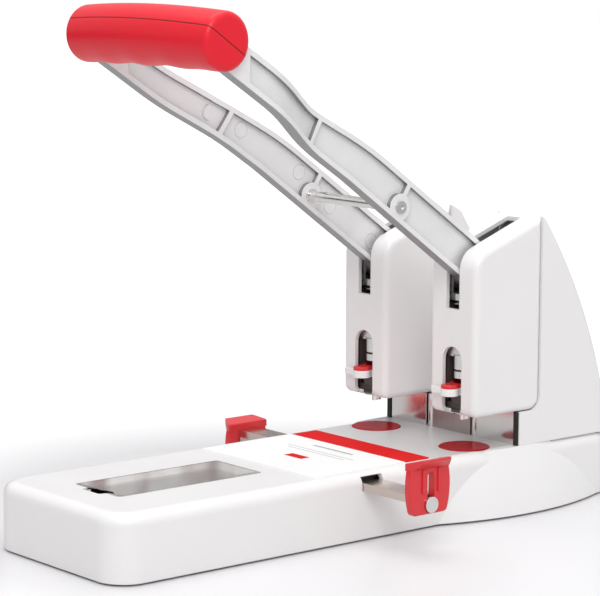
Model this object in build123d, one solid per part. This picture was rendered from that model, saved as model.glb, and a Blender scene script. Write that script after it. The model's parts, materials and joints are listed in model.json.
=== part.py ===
"""Heavy two-hole lever punch: a bed with two punch towers, worked by a double-armed lever.

Frame: X across the punch, -Y towards the user, +Z up, origin under the middle of the base, on the
surface that the rubber feet stand on. All sizes are millimetres.
"""
import os
from math import cos, pi, radians, sin, sqrt, tan

from build123d import *

# ---------------------------------------------------------------- driving sizes
BASE_LENGTH = 384.0
BASE_WIDTH = 122.0
BED_Z = 39.5                 # top of the bed, where the paper lies
BED_DEPTH = 261.5            # front edge of the base to the faces of the towers
HOLE_SPACING = 80.0          # standard distance between the two holes
THROAT_GAP = 20.8            # bed to the underside of the towers
FOOT_HEIGHT = 1.2
BASE_WALL = 3.0
BASE_CORNER = 18.0
BED_EDGE = 7.0               # rounding of the bed's upper edge
BOTTOM_PLATE = 2.0
FIT = 0.2                    # gap round a fixed piece in its seat
FREE = 0.3                   # gap round a piece that a hand moves
RUN = 0.05                   # radial gap of a shaft or pin in its bore

FLARE_SPHERE = 186.0         # radius of the domed side flares
FLARE_BULGE = 18.0           # how far each dome's pole stands out of the side wall
FLARE_BACK = 38.0            # dome centre behind the tower faces
FLARE_DROP = 41.9            # dome centre under the table

TOWER_WIDTH = 40.0
COVER_DEPTH = 55.0
COVER_WALL = 2.5
RIDGE_Z = 178.2
TOP_SLOPE = 20.2             # degrees
COVER_EDGE = 4.0
COVER_RADII = (5.0, 14.0, 8.0)   # lower front, upper front and lower rear corners
LEVER_SLOT_WIDTH = 11.1
LEVER_SLOT_Z = 124.6
LEVER_SLOT_DEPTH = 50.0
WINDOW_WIDTH = 16.4
WINDOW_Z = (61.6, 93.5, 101.7)   # sill, spring line and crown of the arch
SILL_SLIT = 1.2

HOUSING_INSET = 0.3          # the covers stand proud of the rear housing by this much
HOUSING_FOOT = 119.0         # rear of the housing at the bed, behind the tower faces
HOUSING_KNEE = (99.0, 108.5)
HOUSING_CREST = (62.5, 174.0)
HOUSING_EDGE = 6.0
SADDLE_Z = 100.0             # top of the bridge between the two halves of the housing

PUNCH_SETBACK = 10.9         # punch axis behind the tower faces
PUNCH_RADIUS = 3.0
PUNCH_BORE = 2.3
RAM_RADIUS = 5.0
RAM_Z = 83.6                 # lower end of the ram at rest
RAM_HEAD_Z = 129.0
RAM_HEAD = (8.2, 6.0)        # half width and half depth of the fork
FORK_GAP = 5.2
FORK_DROP = 13.0             # fork floor under the drive pin
DRIVE_PIN_RADIUS = 2.5
DRIVE_OFFSET = 7.0           # drive slot under the arm's axis
DRIVE_SLACK = 0.8            # the slot's slack, which takes up the arc
DRIVE_LUG = 7.0              # half width of the lug round the slot
CUT_CLEARANCE = 0.1          # punch tip above the disc when the lever is down

DISC_RADIUS = 15.3
DISC_THICKNESS = 5.0
DISC_PROUD = 0.5
DISC_SEAT_WALL = 4.0

PIVOT_BACK = PUNCH_SETBACK + 33.5    # lever pivot behind the tower faces
PIVOT_Z = 131.5
PIVOT_RADIUS = 5.0
PIVOT_HUB = 12.0
BUSH_RADIUS = 7.0
LEVER_ANGLE = 34.5           # the arm above level at rest, degrees
LEVER_TRAVEL = 25.0          # degrees from rest to the end of the cut

ARM_THICKNESS = 9.0
ARM_WEB = 3.0
ARM_FLANGE = 3.0
# side outline of an arm: (behind the tower faces, height) and corner radius, top edge then low edge
ARM_TOP = ((48.8, 142.2, 0.0), (-70.0, 225.9, 250.0), (-116.0, 249.7, 60.0), (-192.1, 298.2, 5.0))
ARM_LOW = ((-202.5, 283.2, 7.0), (-86.0, 207.2, 120.0), (34.3, 121.8, 0.0))
ARM_FLARE = 16.0             # sideways step of the arms between the tower and the grip
ARM_BEND_RADIUS = 45.0
ARM_BEND_ANGLE = 26.0
ARM_BEND_Y = -104.0
ARM_RIBS = ((-112.0, 236.0), (-43.5, 196.0))
ARM_RIB = 3.2
CROSS_ROD = (-47.0, 189.1)
CROSS_ROD_RADIUS = 3.1
CROSS_COLLAR = (4.3, 1.0)    # radius and width of the collar at each end of the rod
CROSS_BOSS = 8.0
SCREW_HEAD = 3.65

GRIP_CENTRE = (-190.0, 288.8)
GRIP_LENGTH = 132.0
GRIP_RADII = (16.0, 16.9)    # half depth and half height in the middle
GRIP_END_SCALE = 0.97
GRIP_BOW = 3.4               # the middle stands this far forward of the ends
GRIP_WAVE = 0.5
GRIP_WAVES = 4
GRIP_WALL = 3.0
GRIP_ROUND = 4.0
GRIP_TUBE_RADIUS = 5.0

BAR_WIDTH = 15.4
BAR_THICKNESS = 4.6
BAR_Z = 32.05
BAR_INNER_X = -20.0
BAR_Y = {"right": -80.7, "left": -40.5}
BAR_SLOT = (16.0, 8.0)
STOP_X = 105.0               # inner face of a stop: half the width of the set sheet
STOP_THICKNESS = 5.0
STOP_Z = (24.0, 53.0)
STOP_WIDTHS = (25.0, 30.5, 27.0)     # bottom, widest and top
STOP_LIP = 5.0
STOP_LIP_WIDTH = 33.0
STOP_DROP = 16.0
STOP_PIN_Z = 29.6
STOP_PIN_RADIUS = 2.4
STOP_HEAD_RADIUS = 4.6

TRAY_WIDTH = 43.3            # opening of the spares compartment
TRAY_Y = (-231.7, -130.4)    # behind the tower faces
TRAY_DEPTH = 22.0
CARD_WIDTH = 105.0
CARD_Y = (-117.7, -28.2)
CARD_THICKNESS = 0.4
PLATE_THICKNESS = 1.2
THROAT_WALL_BACK = 37.5
BACK_PLATE = 1.2
THROAT_WALL = 2.3
POST_X = 19.8
POST_RADIUS = 2.6
BACK_PLATE_REACH = (17.0, 15.3)    # from the tower's middle inward and outward

LOCK_NOSE_BACK = -1.5
LOCK_NOSE_RADIUS = 5.4
LOCK_Z = (72.3, 76.8, 79.2)  # foot, joint and top of the lock lever and its cap
LOCK_RING = (7.0, 8.6)
LOCK_TAB = (13.6, 3.0, 73.2, 76.6)   # reach, thickness, low and high

SPRING_WIRE = 0.65
SPRING_RADIUS = 6.9
SPRING_TURNS = 7
GUIDE_Z = (95.0, 101.0)      # upper guide of the ram
SLEEVE_RADIUS = 7.2
SLEEVE_FOOT = 82.0           # the sleeve round the ram, from the upper guide down to here
RAM_SLIT = (2.6, 3.8)        # over the lower end of the ram

# ---------------------------------------------------------------- places that follow
SIDE_X = BASE_WIDTH / 2
FACE_Y = BED_DEPTH - BASE_LENGTH / 2
TOWER_X = HOLE_SPACING / 2
THROAT_TOP = BED_Z + THROAT_GAP
THROAT_SPAN = (BED_Z, THROAT_TOP - FIT)
PUNCH_Y = FACE_Y + PUNCH_SETBACK
PIVOT_Y = FACE_Y + PIVOT_BACK
BASE_INNER_Z = BED_Z - BASE_WALL
PLATE_TOP = FOOT_HEIGHT + BOTTOM_PLATE
COVER_REAR = FACE_Y + COVER_DEPTH
FLOOR_Z = THROAT_TOP + COVER_WALL
DISC_TOP = BED_Z + DISC_PROUD
SIDES = {"right": 1, "left": -1}
CHEEK = (9.0, 12.0)          # inner and outer faces of a tower frame's cheeks
FRAME_REAR = 64.0
TAPPED = 1.6                 # core radius of the small screws


def drive_height(angle):
    """Height of the drive slot over the pivot, for an arm at this angle above level."""
    reach = PIVOT_BACK - PUNCH_SETBACK
    return reach * tan(radians(angle)) - DRIVE_OFFSET / cos(radians(angle))


def drive_reach(angle):
    """Distance of the drive pin from the pivot, along an arm at this angle above level."""
    level = PIVOT_BACK - PUNCH_SETBACK
    return level * cos(radians(angle)) + drive_height(angle) * sin(radians(angle))


PUNCH_TRAVEL = drive_height(LEVER_ANGLE) - drive_height(LEVER_ANGLE - LEVER_TRAVEL)
DRIVE_Z = PIVOT_Z + drive_height(LEVER_ANGLE)
DRIVE_RUN = drive_reach(LEVER_ANGLE) - drive_reach(LEVER_ANGLE - LEVER_TRAVEL)
PUNCH_TIP_Z = DISC_TOP + CUT_CLEARANCE + PUNCH_TRAVEL


# ---------------------------------------------------------------- small helpers
def block(x, y, z):
    """A box from three (low, high) pairs."""
    middle = [(low + high) / 2 for low, high in (x, y, z)]
    size = [high - low for low, high in (x, y, z)]
    return Pos(*middle) * Box(*size)


def rod_z(x, y, radius, z):
    return Pos(x, y, z[0]) * extrude(Circle(radius), z[1] - z[0])


def rod_x(y, z, radius, x):
    return Pos(x[0], y, z) * extrude(Plane.YZ * Circle(radius), x[1] - x[0])


def side_face(corners):
    """A face in the YZ plane from (behind the tower faces, height, corner radius)."""
    points = [(FACE_Y + y, z) for y, z, _ in corners]
    radii = [radius for _, _, radius in corners]
    return Plane.YZ * make_face(FilletPolyline(*points, radius=radii, close=True))


def slab(face, x):
    """Extrude a face of the YZ plane from x[0] to x[1]."""
    return Pos(x[0], 0, 0) * extrude(face, x[1] - x[0])


def behind(pair):
    return (FACE_Y + pair[0], FACE_Y + pair[1])


def rounded_box(width, length, radius, y_middle, z):
    return Pos(0, y_middle, z[0]) * extrude(RectangleRounded(width, length, radius), z[1] - z[0])


def bar_y(side):
    return FACE_Y + BAR_Y[side]


# ---------------------------------------------------------------- base
BOSS_PLACES = [(x, y) for x in (-48.0, 48.0) for y in (-172.0, -60.0, 168.0)]
BOSS_RADIUS = 4.5
FOOT_PLACES = [(x, y) for x in (-42.0, 42.0) for y in (-150.0, 150.0)]
FOOT_RADIUS = 9.0
STEM_RADIUS = 3.0


def flare(side, inset):
    """The ball that forms one domed flare, or its cavity."""
    pole = SIDE_X + FLARE_BULGE
    centre_x = side * (pole - FLARE_SPHERE)
    ball = Pos(centre_x, FACE_Y + FLARE_BACK, -FLARE_DROP) * Sphere(FLARE_SPHERE - inset)
    near = SIDE_X - BASE_WALL - inset
    low = FOOT_HEIGHT - (1.0 if inset else 0.0)
    reach = sorted((side * near, side * (pole + 1)))
    return ball & block(reach, (-BASE_LENGTH / 2, BASE_LENGTH / 2 + 1), (low, BED_Z - inset))


def base_housing():
    body = rounded_box(BASE_WIDTH, BASE_LENGTH, BASE_CORNER, 0, (FOOT_HEIGHT, BED_Z))
    body = fillet(body.faces().sort_by(Axis.Z)[-1].edges(), BED_EDGE)
    inner_width = BASE_WIDTH - 2 * BASE_WALL
    inner_length = BASE_LENGTH - 2 * BASE_WALL
    cavity = rounded_box(inner_width, inner_length, BASE_CORNER - BASE_WALL, 0, (0, BASE_INNER_Z))
    cavity = fillet(cavity.faces().sort_by(Axis.Z)[-1].edges(), BED_EDGE - BASE_WALL)
    for side in SIDES.values():
        body += flare(side, 0)
    body -= cavity
    for side in SIDES.values():
        body -= flare(side, BASE_WALL)
    for x, y in BOSS_PLACES:
        body += rod_z(x, y, BOSS_RADIUS, (PLATE_TOP, BASE_INNER_Z + 1))
        body -= rod_z(x, y, TAPPED + RUN, (0, PLATE_TOP + 12))
    for side in SIDES.values():
        seat_z = DISC_TOP - DISC_THICKNESS
        seat = DISC_RADIUS + DISC_SEAT_WALL
        body += rod_z(side * TOWER_X, PUNCH_Y, seat, (seat_z - 4, BASE_INNER_Z + 1))
        body -= rod_z(side * TOWER_X, PUNCH_Y, DISC_RADIUS + FREE, (seat_z, BED_Z + 1))
        leg_x = [side * TOWER_X + edge for edge in (-CHEEK[1] - FIT, CHEEK[1] + FIT)]
        leg_y = behind((THROAT_WALL_BACK + BACK_PLATE - FIT, FRAME_REAR + FIT))
        body -= block(leg_x, leg_y, (BASE_INNER_Z - 1, BED_Z + 1))
    body -= bed_plate_blank(FIT)
    body -= tray_opening()
    for name, side in SIDES.items():
        wall = sorted((side * (SIDE_X - 12), side * (SIDE_X + 1)))
        half = BAR_SLOT[0] / 2
        low = BAR_Z - BAR_THICKNESS / 2 - FIT
        body -= block(wall, (bar_y(name) - half, bar_y(name) + half), (low, low + BAR_SLOT[1]))
    return body


def bed_plate_blank(gap):
    half = SIDE_X - BED_EDGE + gap
    length = behind((CARD_Y[1] + FIT - gap, THROAT_WALL_BACK + gap))
    return block((-half, half), length, (BED_Z - PLATE_THICKNESS, BED_Z + (1 if gap else 0)))


def bed_plate():
    plate = bed_plate_blank(0)
    for side in SIDES.values():
        plate -= rod_z(side * TOWER_X, PUNCH_Y, DISC_RADIUS + FREE, (0, BED_Z + 1))
    return plate


def tray_middle():
    return FACE_Y + sum(TRAY_Y) / 2


TRAY_LENGTH = TRAY_Y[1] - TRAY_Y[0]
TRAY_LEDGE = 2.4
LID_THICKNESS = 1.2
NOTCH_RADIUS = 9.0


def notch(z):
    return rod_z(0, FACE_Y + TRAY_Y[0] + 1, NOTCH_RADIUS, z)


def tray_opening():
    """The recess for the lid, the hole under it and the finger notch in front."""
    middle = tray_middle()
    recess = rounded_box(TRAY_WIDTH, TRAY_LENGTH, 2.5, middle, (BED_Z - LID_THICKNESS, BED_Z + 1))
    hole_size = (TRAY_WIDTH - 2 * TRAY_LEDGE, TRAY_LENGTH - 2 * TRAY_LEDGE)
    hole = rounded_box(*hole_size, 2.0, middle, (BASE_INNER_Z - 1, BED_Z))
    finger = notch((BASE_INNER_Z - 1, BED_Z + 1))
    front = behind((TRAY_Y[0] - 4, TRAY_Y[1]))
    return recess + hole + (finger & block((-20, 20), front, (0, BED_Z + 1)))


def compartment_tray():
    middle = tray_middle()
    wall = 1.6
    size = (TRAY_WIDTH - 2 * TRAY_LEDGE + 2 * wall, TRAY_LENGTH - 2 * TRAY_LEDGE + 14)
    low = BASE_INNER_Z - TRAY_DEPTH
    body = rounded_box(*size, 4.0, middle, (low, BASE_INNER_Z))
    inner = rounded_box(size[0] - 2 * wall, size[1] - 2 * wall, 2.4, middle, (low + wall, BASE_INNER_Z + 1))
    return body - inner


def spares_cover():
    """Dished stainless lid that lies in the recess of the bed."""
    middle = tray_middle()
    width = TRAY_WIDTH - 2 * FIT
    length = TRAY_LENGTH - 2 * FIT
    flange = rounded_box(width, length, 2.3, middle, (BED_Z - LID_THICKNESS, BED_Z))
    dish_depth = 1.9
    skin = 0.9

    def dish(offset, top, bottom):
        rim = RectangleRounded(width - 3 + offset, length - 3 + offset, 3.0 + offset / 2)
        floor = RectangleRounded(width - 15 + offset, length - 15 + offset, 8.0 + offset / 2)
        return Pos(0, middle, 0) * loft([Pos(0, 0, top) * rim, Pos(0, 0, bottom) * floor])

    pan = dish(-2.0 - 2 * TRAY_LEDGE + 2 * skin, BED_Z - skin, BED_Z - dish_depth - skin)
    lid = flange + pan - dish(0, BED_Z + 0.01, BED_Z - dish_depth)
    return lid - notch((0, BED_Z + 1))


def bed_card():
    width = CARD_WIDTH / 2
    return block((-width, width), behind(CARD_Y), (BED_Z, BED_Z + CARD_THICKNESS))


def bottom_plate():
    width = BASE_WIDTH - 2 * (BASE_WALL + FIT)
    length = BASE_LENGTH - 2 * (BASE_WALL + FIT)
    plate = rounded_box(width, length, BASE_CORNER - BASE_WALL, 0, (FOOT_HEIGHT, PLATE_TOP))
    reach = SIDE_X + 30
    layer = block((-reach, reach), (-BASE_LENGTH / 2, BASE_LENGTH / 2), (FOOT_HEIGHT, PLATE_TOP))
    for side in SIDES.values():
        plate += flare(side, BASE_WALL + FIT) & layer
    for x, y in BOSS_PLACES:
        plate -= screw(x, y, RUN)
    for x, y in FOOT_PLACES:
        plate -= rod_z(x, y, STEM_RADIUS + RUN, (0, PLATE_TOP + 1))
    for x, y in bolt_places():
        plate -= rod_z(x, y, FRAME_BOLT + RUN, (0, PLATE_TOP + 1))
    return plate


def screw(x, y, gap):
    """Countersunk base screw, or with a gap the hole that it needs."""
    upright = (Align.CENTER, Align.CENTER, Align.MIN)
    head = Pos(x, y, FOOT_HEIGHT) * Cone(TAPPED * 2 + gap, TAPPED + gap, BOTTOM_PLATE, align=upright)
    return head + rod_z(x, y, TAPPED + gap, (FOOT_HEIGHT, PLATE_TOP + 10))


def base_screws():
    return Compound([screw(x, y, 0).solid() for x, y in BOSS_PLACES])


def rubber_feet():
    feet = []
    for x, y in FOOT_PLACES:
        pad = rod_z(x, y, FOOT_RADIUS, (0, FOOT_HEIGHT))
        stem = rod_z(x, y, STEM_RADIUS, (FOOT_HEIGHT, PLATE_TOP))
        feet.append((pad + stem).solid())
    return Compound(feet)


# ---------------------------------------------------------------- side stops
def bar_guide(side):
    """Channel under the bed that carries one guide bar."""
    sign = SIDES[side]
    wall = 3.0
    reach = sorted((sign * 22.0, sign * 53.5))
    half = BAR_WIDTH / 2 + RUN
    outer = (bar_y(side) - half - wall, bar_y(side) + half + wall)
    low = BAR_Z - BAR_THICKNESS / 2
    body = block(reach, outer, (low - 2.5, BASE_INNER_Z))
    channel_x = (reach[0] - 1, reach[1] + 1)
    channel = (low - RUN, low + BAR_THICKNESS + RUN)
    return body - block(channel_x, (bar_y(side) - half, bar_y(side) + half), channel)


def guide_bar(side):
    """Flat bar with its outer end bent down to carry the stop's pin."""
    sign = SIDES[side]
    end = STOP_X - 0.1
    tab = 2.0
    y = (bar_y(side) - BAR_WIDTH / 2, bar_y(side) + BAR_WIDTH / 2)
    z = (BAR_Z - BAR_THICKNESS / 2, BAR_Z + BAR_THICKNESS / 2)
    bar = block(sorted((sign * BAR_INNER_X, sign * end)), y, z)
    bar += block(sorted((sign * (end - tab), sign * end)), y, (STOP_PIN_Z - 5, z[1]))
    pin_hole = sorted((sign * (end - tab - 6), sign * (end + 1)))
    return bar - rod_x(bar_y(side), STOP_PIN_Z, TAPPED + RUN, pin_hole)


def bar_pin(side):
    """Headed pin on which a stop slides up and down."""
    sign = SIDES[side]
    outer = STOP_X + STOP_THICKNESS + 0.1
    end = STOP_X - 0.1

    def part_of(radius, start, stop):
        return rod_x(bar_y(side), STOP_PIN_Z, radius, sorted((sign * start, sign * stop)))

    pin = part_of(STOP_PIN_RADIUS, end, outer) + part_of(TAPPED, end - 2, end)
    return pin + part_of(STOP_HEAD_RADIUS, outer, outer + 1.2)


def stop_outline(y_middle):
    low, high = STOP_Z
    bottom, wide, top = (width / 2 for width in STOP_WIDTHS)
    belly = low + 0.55 * (high - low)
    right = ThreePointArc((y_middle + bottom, low), (y_middle + wide, belly), (y_middle + top, high))
    left = ThreePointArc((y_middle - top, high), (y_middle - wide, belly), (y_middle - bottom, low))
    lines = [right, Line(right @ 1, left @ 0), left, Line(left @ 1, right @ 0)]
    return Plane.YZ * make_face(lines)


def side_stop(side):
    """Barrel-shaped plate with a keyhole slot, two ribs beside it and a lip on top."""
    sign = SIDES[side]
    y = bar_y(side)
    inner = STOP_X
    outer = STOP_X + STOP_THICKNESS
    face = stop_outline(y)
    body = slab(face, sorted((sign * inner, sign * outer)))
    corners = body.edges().filter_by(Axis.X).group_by(Axis.Z)[0]
    body = fillet(corners, 3.0)
    rim = [edge for edge in body.edges()
           if abs(abs(edge.center().X) - outer) < 0.01 and edge.center().Z < STOP_Z[1] - 1]
    body = fillet(rim, 1.5)
    lip_low = STOP_Z[1] - 3.0
    lip_points = [(inner, lip_low), (outer, lip_low), (outer + STOP_LIP, STOP_Z[1] + 2.2),
                  (outer + STOP_LIP, STOP_Z[1] + 3.6), (inner, STOP_Z[1] + 1.2)]
    corners = [(sign * x, z) for x, z in lip_points]
    lip_face = make_face(FilletPolyline(*corners, radius=[0, 3.0, 0.5, 0.5, 1.0], close=True))
    half = STOP_LIP_WIDTH / 2
    lip = Pos(0, y + half, 0) * extrude(Plane.XZ * lip_face, STOP_LIP_WIDTH)
    plan = Pos(sign * (inner - 10), y) * Ellipse(26.0, half)
    body += lip & extrude(plan, 100)
    slot_half = STOP_PIN_RADIUS + FIT
    slot_top = STOP_PIN_Z + STOP_DROP + slot_half + FIT
    through = sorted((sign * (inner - 1), sign * (outer + 8)))
    for edge in (-1, 1):
        rib_x = sorted((sign * inner, sign * (outer + 0.9)))
        rib_y = sorted((y + edge * (STOP_HEAD_RADIUS + FREE), y + edge * (STOP_HEAD_RADIUS + 2.3)))
        body += block(rib_x, rib_y, (STOP_PIN_Z + 7, STOP_Z[1] - 3))
    body -= block(through, (y - slot_half, y + slot_half), (STOP_PIN_Z, slot_top - slot_half))
    body -= rod_x(y, slot_top - slot_half, slot_half, through)
    body -= rod_x(y, STOP_PIN_Z, STOP_HEAD_RADIUS + FIT, through)
    if side == "left":
        body = Pos(0, 0, -STOP_DROP) * body
    return body


# ---------------------------------------------------------------- towers
def tower_outline(inset):
    """Side outline of a tower cover; with an inset, its cavity, which is open at the back."""
    rear = COVER_DEPTH + (20.0 if inset else 0.0)
    low = THROAT_TOP + inset
    slope = tan(radians(TOP_SLOPE))
    drop = inset / cos(radians(TOP_SLOPE))

    def top_at(y):
        return RIDGE_Z + (y - COVER_DEPTH) * slope - drop

    radii = [max(radius - inset, 0.5) for radius in COVER_RADII]
    corners = [(inset, low, radii[0]), (inset, top_at(inset), radii[1]),
               (rear, top_at(rear), 0.0), (rear, low, 0.0 if inset else radii[2])]
    return side_face(corners)


def window_shape():
    """Window in the front wall, upright to the spring line and round over it."""
    half = WINDOW_WIDTH / 2
    sill, spring, crown = WINDOW_Z
    arch = EllipticalCenterArc((0, spring), half, crown - spring, start_angle=0, arc_size=180)
    jambs = Polyline((-half, spring), (-half, sill), (half, sill), (half, spring))
    return make_face([arch, jambs])


def tower_cover():
    half = TOWER_WIDTH / 2
    body = slab(tower_outline(0), (-half, half))
    edges = [edge for edge in body.edges()
             if abs(abs(edge.center().X) - half) < 0.01 and edge.center().Y < COVER_REAR - 0.01]
    body = fillet(edges, COVER_EDGE)
    body -= slab(tower_outline(COVER_WALL), (-half + COVER_WALL, half - COVER_WALL))
    slot = LEVER_SLOT_WIDTH / 2
    body -= block((-slot, slot), behind((-1, LEVER_SLOT_DEPTH)), (LEVER_SLOT_Z, RIDGE_Z + 5))
    opening = extrude(Plane.XZ * window_shape(), COVER_WALL + 2)
    body -= Pos(0, FACE_Y + COVER_WALL + 1, 0) * opening
    body -= block((-SILL_SLIT / 2, SILL_SLIT / 2), behind((-1, 6)), (THROAT_TOP - 1, WINDOW_Z[0] + 1))
    body -= rod_z(0, PUNCH_Y, GUIDE_SPIGOT + FREE, (THROAT_TOP - 1, FLOOR_Z + 1))
    leg = CHEEK[1] + FIT
    leg_y = behind((THROAT_WALL_BACK + BACK_PLATE - FIT, COVER_DEPTH + 1))
    return body - block((-leg, leg), leg_y, (THROAT_TOP - 1, FLOOR_Z + 1))


def tower_frame():
    """U-shaped steel frame: two cheeks and a back web, on a leg that stands on the bottom plate."""
    leg_front = THROAT_WALL_BACK + BACK_PLATE
    low = FLOOR_Z + FIT
    corners = [(5, low, 0), (5, 124, 4), (28, 150, 6), (56, 150, 6), (FRAME_REAR, 142, 6),
               (FRAME_REAR, PLATE_TOP, 0), (leg_front, PLATE_TOP, 0), (leg_front, low, 0)]
    inner, outer = CHEEK
    body = slab(side_face(corners), (-outer, outer))
    body -= block((-inner, inner), behind((0, FRAME_REAR - 3)), (0, 160))
    body += block((-inner, inner), behind((leg_front, FRAME_REAR)), (PLATE_TOP, PLATE_TOP + 3))
    for y in FRAME_BOLT_Y:
        body -= rod_z(0, FACE_Y + y, FRAME_BOLT + RUN, (0, PLATE_TOP + 4))
    body -= rod_x(PIVOT_Y, PIVOT_Z, PIVOT_RADIUS + RUN, (-20, 20))
    return body


FRAME_BOLT = 2.5
FRAME_BOLT_Y = (45.0, 55.5)
GUIDE_SPIGOT = 8.0


def bolt_places():
    return [(side * TOWER_X, FACE_Y + y) for side in SIDES.values() for y in FRAME_BOLT_Y]


def frame_bolts():
    bolts = []
    for x, y in bolt_places():
        shank = rod_z(x, y, FRAME_BOLT, (FOOT_HEIGHT, PLATE_TOP + 3))
        head = Pos(x, y, PLATE_TOP + 3) * extrude(RegularPolygon(4.6, 6), 3.5)
        bolts.append((shank + head).solid())
    return Compound(bolts)


def punch_guide():
    """Lower guide: a block in the frame, a spigot through the cover floor and a collar for the lock."""
    half = CHEEK[0] - RUN
    collar = LOCK_RING[0]
    body = block((-half, half), (FACE_Y + COVER_WALL + 2.0, PUNCH_Y + 9), (FLOOR_Z + FIT, 67.0))
    body += rod_z(0, PUNCH_Y, GUIDE_SPIGOT, (THROAT_TOP + FIT, FLOOR_Z + FIT))
    body += rod_z(0, PUNCH_Y, LOCK_RING[1] - 0.2, (67.0, LOCK_Z[0] - 0.1))
    body += rod_z(0, PUNCH_Y, collar, (LOCK_Z[0] - 0.1, LOCK_Z[1]))
    body -= rod_z(0, PUNCH_Y, PUNCH_RADIUS + RUN, (0, 100))
    return body - rod_z(0, PUNCH_Y, RAM_RADIUS + FREE, (RAM_Z - PUNCH_TRAVEL - 0.4, 100))


def chip_slit(reach):
    """Slit in front of the ram and its sleeve, through which the chips can be seen."""
    return block((-reach, reach), (PUNCH_Y - reach, PUNCH_Y - PUNCH_BORE), [RAM_Z + z for z in RAM_SLIT])


def ram_guide():
    """Upper guide: a block in the frame with a sleeve that hangs down round the ram."""
    half = CHEEK[0] - RUN
    body = block((-half, half), (FACE_Y + COVER_WALL + 2.0, PUNCH_Y + 9), GUIDE_Z)
    body += rod_z(0, PUNCH_Y, SLEEVE_RADIUS, (SLEEVE_FOOT, GUIDE_Z[0] + 1))
    return body - rod_z(0, PUNCH_Y, RAM_RADIUS + RUN, (0, 200)) - chip_slit(SLEEVE_RADIUS + 1)


def pivot_pin():
    """Shouldered pin through the frame, grooved for its two retaining rings."""
    half = CHEEK[1] + 3.0
    pin = rod_x(PIVOT_Y, PIVOT_Z, PIVOT_RADIUS, (-half, half))
    pin = chamfer(pin.edges().filter_by(GeomType.CIRCLE), 0.6)
    for side in SIDES.values():
        groove = sorted((side * (CHEEK[1] + 0.1), side * (CHEEK[1] + 1.3)))
        core = rod_x(PIVOT_Y, PIVOT_Z, PIVOT_RADIUS - 0.5, groove)
        pin -= rod_x(PIVOT_Y, PIVOT_Z, PIVOT_RADIUS + 1, groove) - core
    return pin


def retaining_rings():
    rings = []
    for side in SIDES.values():
        reach = sorted((side * (CHEEK[1] + 0.15), side * (CHEEK[1] + 1.15)))
        ring = rod_x(PIVOT_Y, PIVOT_Z, PIVOT_RADIUS + 2.2, reach)
        ring -= rod_x(PIVOT_Y, PIVOT_Z, PIVOT_RADIUS - 0.5 + RUN, reach)
        ring -= block(reach, (PIVOT_Y, PIVOT_Y + 12), (PIVOT_Z - 3, PIVOT_Z + 3))
        rings.append(ring.solid())
    return rings


# ---------------------------------------------------------------- punches and locks
def punch_pin():
    """Hollow punch with a scalloped cutting edge."""
    top = RAM_Z + 12
    body = rod_z(0, PUNCH_Y, PUNCH_RADIUS, (PUNCH_TIP_Z, top)) - rod_z(0, PUNCH_Y, PUNCH_BORE, (0, top + 1))
    scallop = rod_x(PUNCH_Y, PUNCH_TIP_Z - 6.2, 7.0, (-10, 10))
    return body - scallop


def ram():
    """Ram: bored for the punch, slit for the chips, with a fork for the drive pin on top."""
    half_x, half_y = RAM_HEAD
    body = rod_z(0, PUNCH_Y, RAM_RADIUS, (RAM_Z, RAM_HEAD_Z + 1))
    top = DRIVE_Z + DRIVE_PIN_RADIUS + 2.5
    head = block((-half_x, half_x), (PUNCH_Y - half_y, PUNCH_Y + half_y), (RAM_HEAD_Z, top))
    head = fillet(head.edges().filter_by(Axis.X).group_by(Axis.Z)[-1], half_y - 1.0)
    body += head
    body -= block((-FORK_GAP, FORK_GAP), (PUNCH_Y - 9, PUNCH_Y + 9), (DRIVE_Z - FORK_DROP, top + 1))
    body -= rod_x(PUNCH_Y, DRIVE_Z, DRIVE_PIN_RADIUS + RUN, (-20, 20))
    body -= rod_z(0, PUNCH_Y, PUNCH_RADIUS + RUN, (0, RAM_Z + 12))
    return body - chip_slit(RAM_RADIUS + 1)


def drive_pin():
    return rod_x(PUNCH_Y, DRIVE_Z, DRIVE_PIN_RADIUS, (-RAM_HEAD[0], RAM_HEAD[0]))


def biarc(start, end, start_way, end_way):
    """Two tangent arcs from start to end that leave and arrive along the given ways."""
    span = end - start
    closing = 1 - start_way.dot(end_way)
    along = span.dot(start_way + end_way)
    reach = (sqrt(along ** 2 + 2 * closing * span.dot(span)) - along) / (2 * closing)
    first = start + start_way * reach
    last = end - end_way * reach
    middle = (first + last) * 0.5
    return [TangentArc(start, middle, tangent=start_way), TangentArc(middle, end, tangent=last - first)]


def return_spring():
    """Open coil round the ram, one tube on arcs of a quarter turn."""
    low = GUIDE_Z[1] + SPRING_WIRE + 0.1
    high = RAM_HEAD_Z - SPRING_WIRE - 0.1
    pitch = (high - low) / SPRING_TURNS
    rise = pitch / (2 * pi * SPRING_RADIUS)

    def place(turn):
        angle = 2 * pi * turn
        return Vector(SPRING_RADIUS * cos(angle), PUNCH_Y + SPRING_RADIUS * sin(angle), low + pitch * turn)

    def way(turn):
        angle = 2 * pi * turn
        return Vector(-sin(angle), cos(angle), rise).normalized()

    arcs = []
    for quarter in range(4 * SPRING_TURNS):
        here, there = quarter / 4, (quarter + 1) / 4
        arcs += biarc(place(here), place(there), way(here), way(there))
    path = Wire(arcs)
    section = Plane(place(0), z_dir=way(0)) * Circle(SPRING_WIRE)
    print(f"return spring: least gap between turns {pitch * cos(rise) - 2 * SPRING_WIRE:.2f} mm")
    return sweep(section, path=path)


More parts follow.
